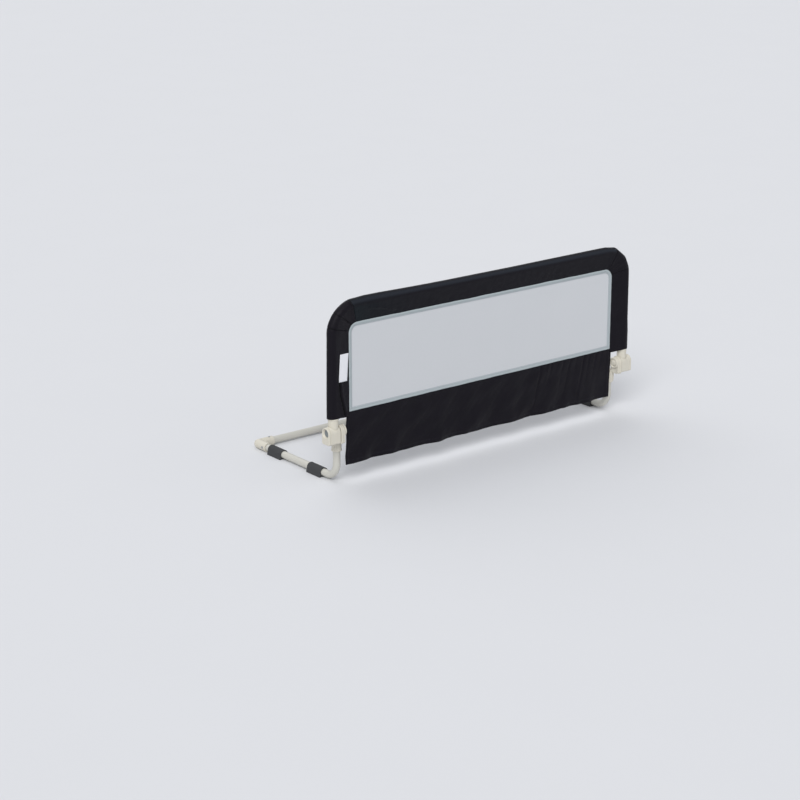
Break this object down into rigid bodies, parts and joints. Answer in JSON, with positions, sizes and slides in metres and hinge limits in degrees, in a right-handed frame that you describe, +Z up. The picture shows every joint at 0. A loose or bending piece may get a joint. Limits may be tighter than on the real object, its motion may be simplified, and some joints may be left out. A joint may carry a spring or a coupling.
{
  "type": "folding bed guard rail",
  "caption": "Fabric-covered tube frame with net window and skirt, on push-button hinges that let it swing down outward, with arms that lie under the mattress.",
  "frame": {"origin": "centre of the part's outer box, on the plane of the pads' feet, which rest on the bed base", "axes": "+X along the rail, -Y to the outer side of the bed, +Y towards the mattress, +Z up"},
  "size_m": [1.0832, 0.4102, 0.4938],
  "materials": {
    "steel": "zinc plated",
    "painted_steel": "satin powder coat",
    "border_fabric": "plain woven polyester",
    "window_net": "fine knitted net",
    "binding_tape": "woven tape",
    "tag_fabric": "smooth woven",
    "ivory_plastic": "moulded, fine texture",
    "grey_plastic": "moulded, fine texture",
    "gear_plastic": "moulded",
    "rubber": "moulded, matt"
  },
  "bodies": {
    "base": {"cross_bar": "painted_steel", "left_lower_bracket": "ivory_plastic", "left_inner_cap": "ivory_plastic", "left_pivot_bolt": "steel", "left_pivot_nut": "steel", "left_button_spring": "steel", "left_leg_tube": "painted_steel", "left_leg_screw": "steel", "left_front_grip_pad": "rubber", "left_rear_grip_pad": "rubber", "left_corner_elbow": "ivory_plastic", "left_arm_screw": "steel", "left_bar_snap_spring": "steel", "right_lower_bracket": "ivory_plastic", "right_inner_cap": "ivory_plastic", "right_pivot_bolt": "steel", "right_pivot_nut": "steel", "right_button_spring": "steel", "right_leg_tube": "painted_steel", "right_leg_screw": "steel", "right_front_grip_pad": "rubber", "right_rear_grip_pad": "rubber", "right_corner_elbow": "ivory_plastic", "right_arm_screw": "steel", "right_bar_snap_spring": "steel"},
    "rail": {"left_upright_tube": "steel", "right_upright_tube": "steel", "top_middle_tube": "steel", "fabric_border": "border_fabric", "window_binding": "binding_tape", "window_net": "window_net", "skirt": "border_fabric", "blank_tag": "tag_fabric", "left_upper_moulding": "ivory_plastic", "left_outer_cover": "ivory_plastic", "left_upright_screw": "steel", "left_top_snap_spring": "steel", "right_upper_moulding": "ivory_plastic", "right_outer_cover": "ivory_plastic", "right_upright_screw": "steel", "right_top_snap_spring": "steel"},
    "left_button": {"left_release_button": "grey_plastic"},
    "right_button": {"right_release_button": "grey_plastic"},
    "left_gear": {"left_lock_gear": "gear_plastic"},
    "right_gear": {"right_lock_gear": "gear_plastic"},
    "left_top_snap": {"left_top_snap_button": "steel"},
    "right_top_snap": {"right_top_snap_button": "steel"},
    "left_bar_snap": {"left_bar_snap_button": "steel"},
    "right_bar_snap": {"right_bar_snap_button": "steel"}
  },
  "joints": [
    {"name": "fold", "type": "hinge", "parent": "base", "child": "rail", "pos_m": [0, -0.1876, 0.15], "axis": [1, 0, 0], "range_deg": [0, 175]},
    {"name": "left_button_press", "type": "slide", "parent": "rail", "child": "left_button", "axis": [1, 0, 0], "range_m": [0, 0.0055], "stiffness_N_per_m": 1500, "springref_m": -0.003},
    {"name": "right_button_press", "type": "slide", "parent": "rail", "child": "right_button", "axis": [-1, 0, 0], "range_m": [0, 0.0055], "stiffness_N_per_m": 1500, "springref_m": -0.003},
    {"name": "left_gear_slide", "type": "slide", "parent": "base", "child": "left_gear", "axis": [1, 0, 0], "range_m": [0, 0.0055], "deforming": ["left_button_spring"]},
    {"name": "right_gear_slide", "type": "slide", "parent": "base", "child": "right_gear", "axis": [-1, 0, 0], "range_m": [0, 0.0055], "deforming": ["right_button_spring"]},
    {"name": "left_top_snap_press", "type": "slide", "parent": "rail", "child": "left_top_snap", "axis": [0, -1, 0], "range_m": [0, 0.0025], "stiffness_N_per_m": 2000, "springref_m": -0.002, "deforming": ["left_top_snap_spring"]},
    {"name": "right_top_snap_press", "type": "slide", "parent": "rail", "child": "right_top_snap", "axis": [0, -1, 0], "range_m": [0, 0.0025], "stiffness_N_per_m": 2000, "springref_m": -0.002, "deforming": ["right_top_snap_spring"]},
    {"name": "left_bar_snap_press", "type": "slide", "parent": "base", "child": "left_bar_snap", "axis": [0, 0, -1], "range_m": [0, 0.0036], "stiffness_N_per_m": 2000, "springref_m": -0.002, "deforming": ["left_bar_snap_spring"]},
    {"name": "right_bar_snap_press", "type": "slide", "parent": "base", "child": "right_bar_snap", "axis": [0, 0, -1], "range_m": [0, 0.0036], "stiffness_N_per_m": 2000, "springref_m": -0.002, "deforming": ["right_bar_snap_spring"]}
  ],
  "couplings": [
    {"joint": "left_gear_slide", "follows": "left_button_press", "ratio": 1},
    {"joint": "right_gear_slide", "follows": "right_button_press", "ratio": 1}
  ]
}
